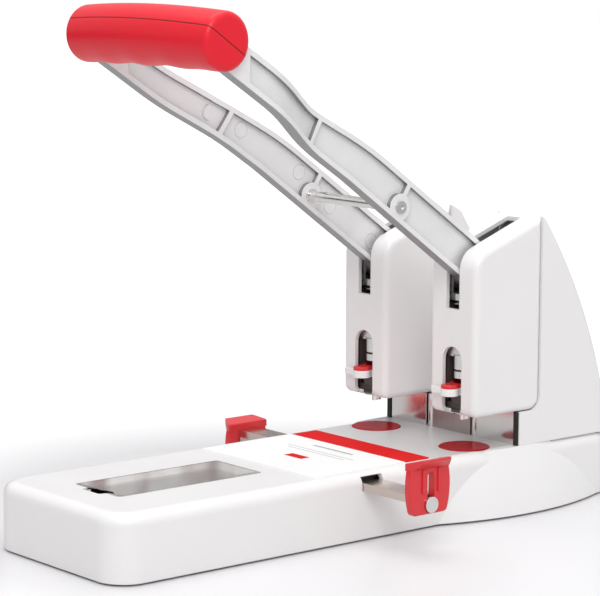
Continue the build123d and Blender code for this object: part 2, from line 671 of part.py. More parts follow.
def lock_plan():
    """Plan of the lock lever: a ring round the punch guide and a nose through the window."""
    nose_y = FACE_Y + LOCK_NOSE_BACK
    neck = LOCK_NOSE_RADIUS - 1.4
    plan = Pos(0, PUNCH_Y) * Circle(LOCK_RING[1])
    plan += Pos(0, (PUNCH_Y + nose_y) / 2) * Rectangle(2 * neck, PUNCH_Y - nose_y)
    plan += Pos(0, nose_y) * Circle(LOCK_NOSE_RADIUS)
    return plan - Pos(0, PUNCH_Y) * Circle(LOCK_RING[0] + RUN)


def lock_lever():
    nose_y = FACE_Y + LOCK_NOSE_BACK
    low, joint, _ = LOCK_Z
    reach, thickness, tab_low, tab_high = LOCK_TAB
    body = Pos(0, 0, low) * extrude(lock_plan(), joint - low)
    front = nose_y - 1.9
    tab = block((-reach, -2.0), (front - thickness / 2, front + thickness / 2), (tab_low, tab_high))
    tab = fillet(tab.edges().filter_by(Axis.Z).group_by(Axis.X)[0], thickness / 2 - 0.1)
    return body + (tab - rod_z(0, PUNCH_Y, LOCK_RING[0], (0, 100)))


def lock_cap():
    _, joint, top = LOCK_Z
    cap = Pos(0, 0, joint) * extrude(lock_plan(), top - joint)
    crown = [edge for edge in cap.edges() if abs(edge.center().Z - top) < 0.01 and edge.center().Y < FACE_Y]
    return fillet(crown, 1.0)


def cutting_disc():
    seat = DISC_TOP - DISC_THICKNESS
    disc = rod_z(0, PUNCH_Y, DISC_RADIUS, (seat, DISC_TOP))
    return fillet(disc.faces().sort_by(Axis.Z)[-1].edges(), 0.6)


# ---------------------------------------------------------------- throat
def back_plate():
    """Polished plate at the back of the throat, in front of the right frame's leg."""
    inward, outward = BACK_PLATE_REACH
    reach = (TOWER_X - inward, TOWER_X + outward)
    return block(reach, behind((THROAT_WALL_BACK, THROAT_WALL_BACK + BACK_PLATE)), THROAT_SPAN)


def throat_post():
    return rod_z(POST_X, FACE_Y + THROAT_WALL_BACK + POST_RADIUS, POST_RADIUS, THROAT_SPAN)


def throat_pad():
    """Dark strip on the front edge of the rear housing's side wall."""
    outer = SIDE_X - 2.0
    depth = behind((THROAT_WALL_BACK - 0.6, THROAT_WALL_BACK + 0.5))
    return block((outer - 3.4, outer), depth, THROAT_SPAN)


def throat_wall():
    half = POST_X - POST_RADIUS - FIT
    return block((-half, half), behind((THROAT_WALL_BACK, THROAT_WALL_BACK + THROAT_WALL)), THROAT_SPAN)


def housing_outline():
    """Side outline of the rear housing: upright front, stepped under the covers, arched back."""
    corner = COVER_RADII[2] + FIT
    front = COVER_DEPTH + FIT
    step_z = THROAT_TOP - FIT
    toe = (FACE_Y + THROAT_WALL_BACK + 0.5, BED_Z)
    sole = (toe[0], step_z)
    arc_start = (FACE_Y + front - corner, step_z)
    arc_end = (FACE_Y + front, step_z + corner)
    crest = (FACE_Y + HOUSING_CREST[0], HOUSING_CREST[1])
    knee = (FACE_Y + HOUSING_KNEE[0], HOUSING_KNEE[1])
    heel = (FACE_Y + HOUSING_FOOT, BED_Z)
    bend = (arc_start[0] + corner * sin(pi / 4), arc_end[1] - corner * cos(pi / 4))
    lines = [Line(toe, sole), Line(sole, arc_start), ThreePointArc(arc_start, bend, arc_end),
             Line(arc_end, (arc_end[0], RIDGE_Z - 0.3)), Line((arc_end[0], RIDGE_Z - 0.3), crest),
             ThreePointArc(crest, knee, heel), Line(heel, toe)]
    return Plane.YZ * make_face(lines)


def housing_shell():
    """Shell behind both towers, with an open gap between them above the bridge."""
    half = TOWER_X + TOWER_WIDTH / 2 - HOUSING_INSET
    gap = TOWER_X - TOWER_WIDTH / 2 + HOUSING_INSET
    outline = housing_outline()
    body = slab(outline, (-half, half))
    back = [edge for edge in body.edges()
            if abs(abs(edge.center().X) - half) < 0.01 and edge.center().Y > FACE_Y + HOUSING_CREST[0] + 5
            and edge.center().Z > BED_Z + 1]
    body = fillet(back, HOUSING_EDGE)
    body -= block((-gap, gap), behind((0, HOUSING_FOOT + 10)), (SADDLE_Z, RIDGE_Z + 5))
    closed = offset(outline, -COVER_WALL)
    base_y = (FACE_Y + THROAT_WALL_BACK + 6, FACE_Y + HOUSING_FOOT - COVER_WALL)
    closed += Plane.YZ * Pos(sum(base_y) / 2, BED_Z) * Rectangle(base_y[1] - base_y[0], 8)
    front_y = FACE_Y + COVER_DEPTH + COVER_WALL + 1
    top_z = RIDGE_Z - COVER_WALL - 2
    mouth = Plane.YZ * Pos((front_y + FACE_Y + 30) / 2, (top_z + BED_Z) / 2)
    opened = closed + mouth * Rectangle(front_y - FACE_Y - 30, top_z - BED_Z)
    wall_back = THROAT_WALL_BACK + THROAT_WALL + FIT
    post_y = behind((THROAT_WALL_BACK - 1, wall_back + COVER_WALL + 1))
    for side in SIDES.values():
        body -= slab(opened, sorted((side * (gap + COVER_WALL), side * (half - COVER_WALL))))
        post = sorted((side * (POST_X - POST_RADIUS - FIT), side * (gap + COVER_WALL + 1)))
        body -= block(post, post_y, (BED_Z - 1, THROAT_TOP + 1))
    bridge = slab(closed, (-gap - COVER_WALL - 1, gap + COVER_WALL + 1))
    room = behind((wall_back + COVER_WALL, HOUSING_FOOT))
    body -= bridge & block((-gap - 5, gap + 5), room, (BED_Z - 5, SADDLE_Z - COVER_WALL))
    return body - block((-gap, gap), behind((THROAT_WALL_BACK - 1, wall_back)), (BED_Z - 1, THROAT_TOP + 1))


def rear_housing():
    """The shell as it is moulded: a half behind each tower and the bridge between them."""
    shell = housing_shell()
    gap = TOWER_X - TOWER_WIDTH / 2 + HOUSING_INSET
    rest = (behind((0, HOUSING_FOOT + 10)), (0, RIDGE_Z + 5))
    bridge = shell & block((FIT - gap, gap - FIT), *rest)
    right = shell & block((gap, SIDE_X), *rest)
    return right, mirror(right, about=Plane.YZ), bridge


# ---------------------------------------------------------------- lever
def along_slot(shape):
    """Place a plane shape over the run of the drive pin, along the arm."""
    return Plane.YZ * Pos(PUNCH_Y, DRIVE_Z) * Rot(0, 0, -LEVER_ANGLE) * Pos(DRIVE_RUN / 2, 0) * shape


def arm_outline(growth=0.0):
    """Side outline of an arm: a tapered band, its hub round the pivot and the lug of the drive slot."""
    band = side_face(ARM_TOP + ARM_LOW)
    band += Plane.YZ * Pos(PIVOT_Y, PIVOT_Z) * Circle(PIVOT_HUB)
    band += along_slot(SlotOverall(2 * DRIVE_LUG + DRIVE_RUN, 2 * DRIVE_LUG))
    return offset(band, growth) if growth else band


def arm_path(shift):
    """Plan path of an arm, moved outward by shift: straight, flared out, straight again."""
    angle = radians(ARM_BEND_ANGLE)
    radius = ARM_BEND_RADIUS
    run = (ARM_FLARE - 2 * radius * (1 - cos(angle))) / sin(angle)
    start_y = FACE_Y + ARM_BEND_Y
    first = (TOWER_X + radius, start_y)
    elbow = (first[0] - radius * cos(angle), first[1] - radius * sin(angle))
    knee = (elbow[0] + run * sin(angle), elbow[1] - run * cos(angle))
    second = (knee[0] - radius * cos(angle), knee[1] - radius * sin(angle))

    def round_first(turn):
        return (first[0] - (radius - shift) * cos(turn), first[1] - (radius - shift) * sin(turn))

    def round_second(turn):
        return (second[0] + (radius + shift) * cos(turn), second[1] + (radius + shift) * sin(turn))

    bend_out = ThreePointArc(round_first(0), round_first(angle / 2), round_first(angle))
    bend_back = ThreePointArc(round_second(angle), round_second(angle / 2), round_second(0))
    tail = Line((TOWER_X + shift, FACE_Y + 80), bend_out @ 0)
    head = Line(bend_back @ 1, (second[0] + radius + shift, FACE_Y - 220))
    return [tail, bend_out, Line(bend_out @ 1, bend_back @ 0), bend_back, head]


def arm_band(inner, outer):
    """Upright slab that follows the plan path between two shifts."""
    near = arm_path(inner)
    far = arm_path(outer)
    ends = [Line(near[0] @ 0, far[0] @ 0), Line(near[-1] @ 1, far[-1] @ 1)]
    return extrude(make_face(near + far + ends), 400)


def arm_solid(growth=0.0):
    half = ARM_THICKNESS / 2 + growth
    return slab(arm_outline(growth), (0, 120)) & arm_band(-half, half)


def arm_pocket_face():
    """The recessed web: the outline drawn in, less its ribs, boss, hub and the end in the grip."""
    axis_angle = LEVER_ANGLE - 2.0
    face = offset(arm_outline(), -ARM_FLANGE)
    for y, z in ARM_RIBS:
        face -= Plane.YZ * Pos(FACE_Y + y, z) * Rot(0, 0, -axis_angle) * Rectangle(ARM_RIB, 60)
    face -= Plane.YZ * Pos(FACE_Y + CROSS_ROD[0], CROSS_ROD[1]) * Circle(CROSS_BOSS)
    face -= Plane.YZ * Pos(FACE_Y + CROSS_ROD[0] - 1, CROSS_ROD[1] - 8) * Rectangle(6, 12)
    face -= Plane.YZ * Pos(PIVOT_Y, PIVOT_Z) * Circle(PIVOT_HUB + 1)
    lug = DRIVE_LUG + 1.5
    face -= along_slot(SlotOverall(2 * lug + DRIVE_RUN, 2 * lug))
    grip_y = FACE_Y + GRIP_CENTRE[0]
    face -= Plane.YZ * Pos(grip_y - 10, GRIP_CENTRE[1]) * Rectangle(58, 90)
    return face


def arm():
    """Cast arm of I-section, drawn for the right tower."""
    half = ARM_THICKNESS / 2
    web = ARM_WEB / 2
    body = arm_solid()
    pocket = slab(arm_pocket_face(), (0, 120))
    body -= pocket & arm_band(web, half + 1)
    body -= pocket & arm_band(-half - 1, -web)
    wide = (TOWER_X - 20, TOWER_X + 20)
    body -= rod_x(PIVOT_Y, PIVOT_Z, BUSH_RADIUS + RUN, wide)
    body -= rod_x(FACE_Y + CROSS_ROD[0], CROSS_ROD[1], TAPPED + 0.4 + RUN, wide)
    body -= rod_x(FACE_Y + GRIP_CENTRE[0], GRIP_CENTRE[1], GRIP_TUBE_RADIUS + RUN, (20, 100))
    width = 2 * (DRIVE_PIN_RADIUS + DRIVE_SLACK)
    slot = extrude(along_slot(SlotOverall(width + DRIVE_RUN + 0.4, width)), 30)
    return body - Pos(TOWER_X - 15, 0, 0) * slot


def pivot_bushes():
    """Flanged bushes in one arm's hub, from both sides."""
    bushes = []
    for side in SIDES.values():
        sleeve = sorted((side * 0.2, side * (CHEEK[0] - 0.3)))
        flange = sorted((side * (ARM_THICKNESS / 2), side * (CHEEK[0] - 0.3)))
        bush = rod_x(PIVOT_Y, PIVOT_Z, BUSH_RADIUS, sleeve)
        bush += rod_x(PIVOT_Y, PIVOT_Z, BUSH_RADIUS + 2.5, flange)
        bushes.append((bush - rod_x(PIVOT_Y, PIVOT_Z, PIVOT_RADIUS + RUN, (-20, 20))).solid())
    return bushes


def cross_rod():
    half = TOWER_X - ARM_THICKNESS / 2
    y = FACE_Y + CROSS_ROD[0]
    rod = rod_x(y, CROSS_ROD[1], CROSS_ROD_RADIUS, (-half, half))
    collar, width = CROSS_COLLAR
    for side in SIDES.values():
        rod += rod_x(y, CROSS_ROD[1], collar, sorted((side * (half - width), side * half)))
        bore = sorted((side * (half - 9), side * (half + 1)))
        rod -= rod_x(y, CROSS_ROD[1], TAPPED + RUN, bore)
    return rod


def cross_screws():
    """Round-headed screws that hold the cross rod from outside the arms."""
    screws = []
    outer = TOWER_X + ARM_THICKNESS / 2
    y = FACE_Y + CROSS_ROD[0]
    for side in SIDES.values():
        shank = rod_x(y, CROSS_ROD[1], TAPPED, sorted((side * (outer - ARM_THICKNESS - 7), side * outer)))
        head = rod_x(y, CROSS_ROD[1], SCREW_HEAD, sorted((side * outer, side * (outer + 1.4))))
        socket = Plane.YZ * Pos(y, CROSS_ROD[1]) * RegularPolygon(1.6, 6)
        recess = Pos(side * (outer + 0.7) - (0.8 if side < 0 else 0), 0, 0) * extrude(socket, 0.8)
        screws.append((shank + head - recess).solid())
    return Compound(screws)


def grip_section(x, shrink):
    """One cross-section of the grip, bowed forward in the middle and waved underneath."""
    half = GRIP_LENGTH / 2
    share = (x / half) ** 2
    scale = 1 - (1 - GRIP_END_SCALE) * share
    depth = GRIP_RADII[0] * scale - shrink
    height = GRIP_RADII[1] * scale - shrink
    wave = GRIP_WAVE * cos(2 * pi * GRIP_WAVES * x / GRIP_LENGTH) * (1 - share)
    y = FACE_Y + GRIP_CENTRE[0] - GRIP_BOW * (1 - share) * cos(radians(LEVER_ANGLE))
    z = GRIP_CENTRE[1] + GRIP_BOW * (1 - share) * sin(radians(LEVER_ANGLE))
    top = EllipticalCenterArc((y, z), depth, height, start_angle=0, arc_size=180)
    low = EllipticalCenterArc((y, z), depth, height + wave, start_angle=180, arc_size=180)
    return Pos(x, 0, 0) * (Plane.YZ * make_face([top, low]))


def grip_body():
    half = GRIP_LENGTH / 2
    steps = 4 * GRIP_WAVES
    sections = [grip_section(-half + GRIP_LENGTH * step / steps, 0) for step in range(steps + 1)]
    body = loft(sections)
    ends = [edge for edge in body.edges() if abs(abs(edge.center().X) - half) < 0.5]
    return fillet(ends, GRIP_ROUND)


def grip_shells():
    """Two half shells that clamp on the arms' ends, parted in the plane of the arms."""
    body = grip_body()
    y = FACE_Y + GRIP_CENTRE[0]
    z = GRIP_CENTRE[1]
    half = GRIP_LENGTH / 2 - GRIP_WALL
    body -= rod_x(y - 1, z + 0.5, GRIP_RADII[0] - GRIP_WALL - 0.6, (-half + 3.5, half - 3.5))
    envelope = arm_solid(FIT)
    body -= envelope
    body -= mirror(envelope, about=Plane.YZ)
    up = (0, sin(radians(LEVER_ANGLE)), cos(radians(LEVER_ANGLE)))
    parting = Plane(origin=(0, y, z), x_dir=(1, 0, 0), z_dir=up)
    upper = split(body, bisect_by=parting, keep=Keep.TOP)
    lower = split(body, bisect_by=parting, keep=Keep.BOTTOM)
    return upper, lower


def grip_tube():
    """Steel tube between the arms' ends, inside the grip."""
    half = TOWER_X + ARM_FLARE + ARM_THICKNESS / 2 - 0.5
    y = FACE_Y + GRIP_CENTRE[0]
    tube = rod_x(y, GRIP_CENTRE[1], GRIP_TUBE_RADIUS, (-half, half))
    return tube - rod_x(y, GRIP_CENTRE[1], GRIP_TUBE_RADIUS - 1.5, (-half - 1, half + 1))


# ---------------------------------------------------------------- assembly
def group(shapes):
    """One node that holds separate solids."""
    return Compound([solid for shape in shapes for solid in shape.solids()])


def both_towers(name, build):
    """The same piece in each tower, as two nodes."""
    piece = build()
    return {f"{name}_{side}": Pos(sign * TOWER_X, 0, 0) * piece for side, sign in SIDES.items()}


def nodes():
    made = {
        "base_housing": base_housing(),
        "bottom_plate": bottom_plate(),
        "base_screws": base_screws(),
        "rubber_feet": rubber_feet(),
        "bed_plate": bed_plate(),
        "bed_card": bed_card(),
        "compartment_tray": compartment_tray(),
        "spares_cover": spares_cover(),
        "throat_wall": throat_wall(),
        "frame_bolts": frame_bolts(),
        "cross_rod": cross_rod(),
        "cross_screws": cross_screws(),
        "grip_tube": grip_tube(),
    }
    made["rear_housing_right"], made["rear_housing_left"], made["rear_bridge"] = rear_housing()
    made["grip_upper_shell"], made["grip_lower_shell"] = grip_shells()
    towers = {
        "tower_cover": tower_cover, "tower_frame": tower_frame, "punch_guide": punch_guide,
        "ram_guide": ram_guide, "pivot_pin": pivot_pin, "punch": punch_pin, "ram": ram,
        "drive_pin": drive_pin, "return_spring": return_spring, "lock_lever": lock_lever,
        "lock_cap": lock_cap, "cutting_disc": cutting_disc,
    }
    for name, build in towers.items():
        made.update(both_towers(name, build))
    places = [Pos(sign * TOWER_X, 0, 0) for sign in SIDES.values()]
    made["retaining_rings"] = group([place * ring for place in places for ring in retaining_rings()])
    made["pivot_bushes"] = group([place * bush for place in places for bush in pivot_bushes()])
    pairs = {"back_plates": back_plate, "throat_posts": throat_post, "throat_pads": throat_pad}
    for name, build in pairs.items():
        made[name] = group([build(), mirror(build(), about=Plane.YZ)])
    made["arm_right"] = arm()
    made["arm_left"] = mirror(made["arm_right"], about=Plane.YZ)
    for side in SIDES:
        made[f"bar_guide_{side}"] = bar_guide(side)
        made[f"guide_bar_{side}"] = guide_bar(side)
        made[f"bar_pin_{side}"] = bar_pin(side)
        made[f"side_stop_{side}"] = side_stop(side)
    return made


def main():
    os.makedirs("parts", exist_ok=True)
    print(f"punch travel {PUNCH_TRAVEL:.3f} mm over {LEVER_TRAVEL} degrees, tip at {PUNCH_TIP_Z:.2f}")
    for name, shape in nodes().items():
        export_step(shape, os.path.join("parts", f"{name}.step"))
        print(name, len(shape.solids()), round(shape.volume))


main()
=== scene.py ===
"""A heavy two-hole lever punch, dressed for its render.

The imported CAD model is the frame. Each sub-assembly is a class that finishes its CAD nodes and
builds the pieces that replace or join them. All sizes are metres, in the frame of the CAD model.
"""

import json
import logging
import math
from dataclasses import dataclass
from enum import Enum
from typing import Any, ClassVar, Iterable

import bpy
from mathutils import Matrix, Vector

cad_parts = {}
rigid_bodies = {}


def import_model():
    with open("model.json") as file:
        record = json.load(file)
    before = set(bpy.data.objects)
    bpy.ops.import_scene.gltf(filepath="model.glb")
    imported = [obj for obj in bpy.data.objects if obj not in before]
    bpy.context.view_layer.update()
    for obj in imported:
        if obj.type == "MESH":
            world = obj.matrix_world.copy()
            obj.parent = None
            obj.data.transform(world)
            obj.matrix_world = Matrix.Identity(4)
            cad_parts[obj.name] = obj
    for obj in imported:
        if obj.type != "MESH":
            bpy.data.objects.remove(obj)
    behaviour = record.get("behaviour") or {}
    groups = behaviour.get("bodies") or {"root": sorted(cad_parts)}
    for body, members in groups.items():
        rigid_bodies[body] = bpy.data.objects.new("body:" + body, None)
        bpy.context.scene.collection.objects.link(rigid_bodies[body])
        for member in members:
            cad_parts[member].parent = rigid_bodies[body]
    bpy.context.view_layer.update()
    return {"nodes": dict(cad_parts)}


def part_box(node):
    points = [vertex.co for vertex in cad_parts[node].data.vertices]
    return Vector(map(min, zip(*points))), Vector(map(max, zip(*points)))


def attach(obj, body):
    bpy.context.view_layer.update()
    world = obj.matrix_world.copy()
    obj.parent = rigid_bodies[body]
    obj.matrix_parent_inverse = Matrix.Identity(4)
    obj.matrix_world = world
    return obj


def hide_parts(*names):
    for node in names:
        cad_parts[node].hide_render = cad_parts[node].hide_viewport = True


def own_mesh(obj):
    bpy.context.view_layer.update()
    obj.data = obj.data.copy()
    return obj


LOG = logging.getLogger("punch")
MM = 0.001
Colour = tuple[float, float, float]
Point = tuple[float, float, float]
Span = tuple[float, float]
Box = tuple[float, float, float, float]  # low x, high x, low y, high y


# ---------------------------------------------------------------- shader writing
class Value:
    """A number in a node tree, with operators that add Math nodes."""

    def __init__(self, graph: "Graph", socket: bpy.types.NodeSocket) -> None:
        """Wrap one output socket of a graph."""
        self.graph = graph
        self.socket = socket

    def math(self, operation: str, *others: Any) -> "Value":
        """Add one Math node.

        Args:
            operation: Name of the Math node's operation.
            others: Further operands, numbers or values.

        Returns:
            The result as a value.
        """
        inputs = dict(enumerate((self, *others)))
        return self.graph.node("ShaderNodeMath", {"operation": operation}, inputs)

    def __add__(self, other: Any) -> "Value":
        """Return self + other."""
        return self.math("ADD", other)

    def __sub__(self, other: Any) -> "Value":
        """Return self - other."""
        return self.math("SUBTRACT", other)

    def __rsub__(self, other: Any) -> "Value":
        """Return other - self."""
        return (self * -1.0) + other

    def __mul__(self, other: Any) -> "Value":
        """Return self * other."""
        return self.math("MULTIPLY", other)

    def __gt__(self, other: Any) -> "Value":
        """Return 1 where self is over other, else 0."""
        return self.math("GREATER_THAN", other)

    def __lt__(self, other: Any) -> "Value":
        """Return 1 where self is under other, else 0."""
        return self.math("LESS_THAN", other)

    def size(self) -> "Value":
        """Return the value without its sign."""
        return self.math("ABSOLUTE")


class Graph:
    """Writes nodes into one node tree."""

    def __init__(self, tree: bpy.types.NodeTree) -> None:
        """Wrap a node tree."""
        self.tree = tree

    def raw(self, kind: str, settings: dict[str, Any] | None = None,
            inputs: dict[Any, Any] | None = None) -> bpy.types.Node:
        """Add a node.

        Args:
            kind: Type of the node.
            settings: Its settings, set before the sockets.
            inputs: Values or links of its sockets, by name or number.

        Returns:
            The node itself.
        """
        node = self.tree.nodes.new(kind)
        for key, setting in (settings or {}).items():
            setattr(node, key, setting)
        for key, given in (inputs or {}).items():
            socket = node.inputs[key]
            if isinstance(given, Value):
                self.tree.links.new(given.socket, socket)
            elif socket.type == "RGBA" and len(given) == 3:
                socket.default_value = (*given, 1.0)
            else:
                socket.default_value = given
        return node

    def node(self, kind: str, settings: dict[str, Any] | None = None,
             inputs: dict[Any, Any] | None = None, output: Any = 0) -> Value:
        """Add a node and return one of its outputs as a value."""
        return Value(self, self.raw(kind, settings, inputs).outputs[output])

    def place(self) -> Value:
        """Return the object coordinates."""
        return self.node("ShaderNodeTexCoord", output="Object")

    def axes(self, vector: Value) -> tuple[Value, Value, Value]:
        """Split a vector into its three numbers."""
        split = self.raw("ShaderNodeSeparateXYZ", None, {0: vector})
        return tuple(Value(self, socket) for socket in split.outputs)

    def vector(self, x: Any, y: Any, z: Any) -> Value:
        """Join three numbers."""
        return self.node("ShaderNodeCombineXYZ", None, {0: x, 1: y, 2: z})

    def stretched(self, scale: Point) -> Value:
        """Return the object coordinates, scaled per axis."""
        return self.node("ShaderNodeMapping", None, {"Vector": self.place(), "Scale": scale})

    def noise(self, scale: float, detail: float, vector: Value | None = None) -> Value:
        """Return a noise of about 0 to 1."""
        inputs = {"Vector": vector or self.place(), "Scale": scale, "Detail": detail}
        return self.node("ShaderNodeTexNoise", None, inputs)

    def blend(self, share: Any, first: Any, second: Any) -> Value:
        """Mix two colours."""
        inputs = {0: share, 6: first, 7: second}
        return self.node("ShaderNodeMix", {"data_type": "RGBA"}, inputs, output=2)

    def bump(self, height: Value, depth: float, normal: Value | None = None) -> Value:
        """Return a normal raised by a height; depth is in metres."""
        inputs = {"Height": height, "Distance": depth, "Strength": 1.0}
        if normal is not None:
            inputs["Normal"] = normal
        return self.node("ShaderNodeBump", None, inputs)

    def soft_edges(self, radius: float) -> Value:
        """Return a normal that is rounded at edges by a radius."""
        return self.node("ShaderNodeBevel", {"samples": 4}, {"Radius": radius})


# ---------------------------------------------------------------- finishes
@dataclass(frozen=True)
class Finish:
    """A finish: one material with a Principled shader."""

    name: str
    colour: Colour
    roughness: float = 0.4
    edge: float = 0.3 * MM

    def constants(self) -> dict[str, Any]:
        """Return the shader's fixed sockets."""
        return {}

    def varied(self, graph: Graph) -> dict[str, Any]:
        """Return the shader's sockets that change over the surface."""
        return {}

    def make(self) -> bpy.types.Material:
        """Build the material once and return it."""
        known = bpy.data.materials.get(self.name)
        if known is not None:
            return known
        material = bpy.data.materials.new(self.name)
        material.use_nodes = True
        material.diffuse_color = (*self.colour, 1.0)
        graph = Graph(material.node_tree)
        shader = material.node_tree.nodes["Principled BSDF"]
        inputs = {"Base Color": self.colour, "Roughness": self.roughness}
        inputs.update(self.constants())
        inputs.update(self.varied(graph))
        for key, given in inputs.items():
            if isinstance(given, Value):
                graph.tree.links.new(given.socket, shader.inputs[key])
            elif key == "Base Color":
                shader.inputs[key].default_value = (*given, 1.0)
            else:
                shader.inputs[key].default_value = given
        return material

    def shade(self, factor: float) -> Colour:
        """Return the colour, made darker or lighter."""
        return tuple(min(part * factor, 1.0) for part in self.colour)

    def tones(self, graph: Graph, share: Value, dark: float, light: float) -> Value:
        """Return the colour, mixed by a share between two factors of itself."""
        return graph.blend(share, self.shade(dark), self.shade(light))

    def uneven(self, *parts: tuple[Value, float]) -> Value:
        """Return a roughness that varies about its mean.

        Args:
            parts: Noises of 0 to 1, each with the swing that it adds.

        Returns:
            The roughness as a value.
        """
        (noise, swing), *others = parts
        total = noise * swing
        for noise, swing in others:
            total = total + noise * swing
        return total + (self.roughness - sum(swing for _, swing in parts) / 2)

    def relief(self, graph: Graph, height: Value, depth: float) -> Value:
        """Return a normal with a fine relief over rounded edges."""
        return graph.bump(height, depth, graph.soft_edges(self.edge))


@dataclass(frozen=True)
class Moulded(Finish):
    """Moulded plastic: a faint grain, slow unevenness and a clear gloss."""

    coat: float = 0.15
    specular: float = 0.5

    CLOUD: ClassVar[float] = 26.0
    GRAIN: ClassVar[float] = 900.0
    DEPTH: ClassVar[float] = 0.03 * MM

    def constants(self) -> dict[str, Any]:
        """Return the gloss of the moulding."""
        return {"Coat Weight": self.coat, "Coat Roughness": 0.06,
                "Specular IOR Level": self.specular}

    def varied(self, graph: Graph) -> dict[str, Any]:
        """Return a slightly clouded colour, an uneven gloss and a fine grain."""
        slow = graph.noise(self.CLOUD, detail=3.0)
        fine = graph.noise(self.GRAIN, detail=1.0)
        return {
            "Base Color": self.tones(graph, slow, dark=0.975, light=1.02),
            "Roughness": self.uneven((slow, 0.10)),
            "Normal": self.relief(graph, fine * 0.5 + slow * 2.0, self.DEPTH),
        }


@dataclass(frozen=True)
class Cast(Finish):
    """Die-cast light metal under a satin lacquer, with painted shade darkening the flanges."""

    # painted shade: the darker colour laid on the top and bottom flange faces
    shaded_flange: Colour = (0.30, 0.30, 0.31)

    CLOUD: ClassVar[float] = 60.0
    SPECK: ClassVar[float] = 1800.0
    DEPTH: ClassVar[float] = 0.05 * MM
    WEB_FACING: ClassVar[float] = 0.35  # the web looks along X by at least this much
    WEB_METAL: ClassVar[float] = 0.2
    FLANGE_METAL: ClassVar[float] = 0.6

    def constants(self) -> dict[str, Any]:
        """Return the thin lacquer."""
        return {"Coat Weight": 0.12, "Coat Roughness": 0.25}

    def varied(self, graph: Graph) -> dict[str, Any]:
        """Return the cast web and the flanges, darkened by painted shade."""
        normal = graph.node("ShaderNodeTexCoord", output="Normal")
        # painted shade: the flanges, faces that do not look along X, take the darker colour and a
        # higher metallic
        shaded_flange = graph.axes(normal)[0].size() < self.WEB_FACING
        slow = graph.noise(self.CLOUD, detail=4.0)
        speck = graph.noise(self.SPECK, detail=2.0)
        web = self.tones(graph, slow, dark=0.92, light=1.05)
        return {
            "Base Color": graph.blend(shaded_flange, web, self.shaded_flange),
            "Metallic": shaded_flange * (self.FLANGE_METAL - self.WEB_METAL) + self.WEB_METAL,
            "Roughness": self.uneven((speck, 0.12)),
            "Normal": self.relief(graph, speck + slow * 1.5, self.DEPTH),
        }


@dataclass(frozen=True)
class PartedGrip(Moulded):
    """Red grip moulding with the dark line where its two shells meet."""

    middle: Span = (0.0, 0.0)  # y and z of the grip's axis
    lean: float = 34.5  # degrees of the parting plane
    line: float = 0.32 * MM

    def varied(self, graph: Graph) -> dict[str, Any]:
        """Return the moulding with a thin dark line in the parting plane."""
        values = super().varied(graph)
        _, y, z = graph.axes(graph.place())
        angle = math.radians(self.lean)
        off = (y - self.middle[0]) * math.sin(angle) + (z - self.middle[1]) * math.cos(angle)
        groove = off.size() < self.line
        values["Base Color"] = graph.blend(groove, values["Base Color"], self.shade(0.25))
        values["Roughness"] = values["Roughness"] + groove * 0.3
        return values


class Grain(Enum):
    """Way in which a metal is brushed, as the scale of its streaks along X, Y and Z."""

    ACROSS = (12.0, 2600.0, 2600.0)
    LENGTHWISE = (2600.0, 12.0, 2600.0)
    UPRIGHT = (2600.0, 2600.0, 12.0)


@dataclass(frozen=True)
class Brushed(Finish):
    """Metal with fine streaks in one direction."""

    grain: Grain = Grain.ACROSS
    metallic: float = 1.0
    streak: float = 0.16

    STAIN: ClassVar[float] = 45.0
    DEPTH: ClassVar[float] = 0.015 * MM

    def constants(self) -> dict[str, Any]:
        """Return the metal's fixed value."""
        return {"Metallic": self.metallic}

    def varied(self, graph: Graph) -> dict[str, Any]:
        """Return streaks in colour, gloss and height, and faint stains."""
        streaks = graph.noise(1.0, detail=3.0, vector=graph.stretched(self.grain.value))
        stain = graph.noise(self.STAIN, detail=4.0)
        tone = streaks * 0.7 + stain * 0.3
        return {
            "Base Color": self.tones(graph, tone, dark=1.0 - self.streak, light=1.0 + self.streak),
            "Roughness": self.uneven((streaks, 0.14), (stain, 0.08)),
            "Normal": self.relief(graph, streaks, self.DEPTH),
        }


@dataclass(frozen=True)
class Polished(Brushed):
    """Dished stainless sheet, its brushing crossed by broad slanting dark bands of painted
    reflection.
    """

    # painted reflection: the colour of the dark bands
    dark: Colour = (0.46, 0.37, 0.35)

    SLANT: ClassVar[float] = 0.8
    TURN: ClassVar[float] = 0.6
    PITCH: ClassVar[float] = 42.0
    DRIFT: ClassVar[float] = 4.0
    REFLECTION_BAND: ClassVar[Span] = (0.36, 0.60)

    def varied(self, graph: Graph) -> dict[str, Any]:
        """Return the brushed sheet, darkened by slanting bands of painted reflection."""
        values = super().varied(graph)
        x, y, _ = graph.axes(graph.place())
        along = (x * self.SLANT + y) * self.PITCH
        across = (x * self.TURN - y) * self.DRIFT
        # painted reflection: slanting bands of the dark colour stand in for reflections in the
        # dished sheet
        reflection_bands = graph.noise(1.0, detail=1.0, vector=graph.vector(along, across, 0.0))
        share = graph.node("ShaderNodeMapRange", {"interpolation_type": "SMOOTHSTEP"},
                           {0: reflection_bands, 1: self.REFLECTION_BAND[0], 2: self.REFLECTION_BAND[1]})
        values["Base Color"] = graph.blend(share, self.dark, values["Base Color"])
        return values


@dataclass(frozen=True)
class Plated(Finish):
    """Turned and plated metal: nearly smooth, with handling marks."""

    TURNING: ClassVar[Point] = (900.0, 900.0, 3000.0)
    HANDLING: ClassVar[float] = 120.0
    DEPTH: ClassVar[float] = 0.008 * MM

    def constants(self) -> dict[str, Any]:
        """Return the metal's fixed value."""
        return {"Metallic": 1.0}

    def varied(self, graph: Graph) -> dict[str, Any]:
        """Return faint rings of turning and dull patches."""
        rings = graph.noise(1.0, detail=2.0, vector=graph.stretched(self.TURNING))
        dull = graph.noise(self.HANDLING, detail=4.0)
        return {
            "Base Color": self.tones(graph, dull, dark=0.9, light=1.05),
            "Roughness": self.uneven((dull, 0.12), (rings, 0.06)),
            "Normal": self.relief(graph, rings, self.DEPTH),
        }


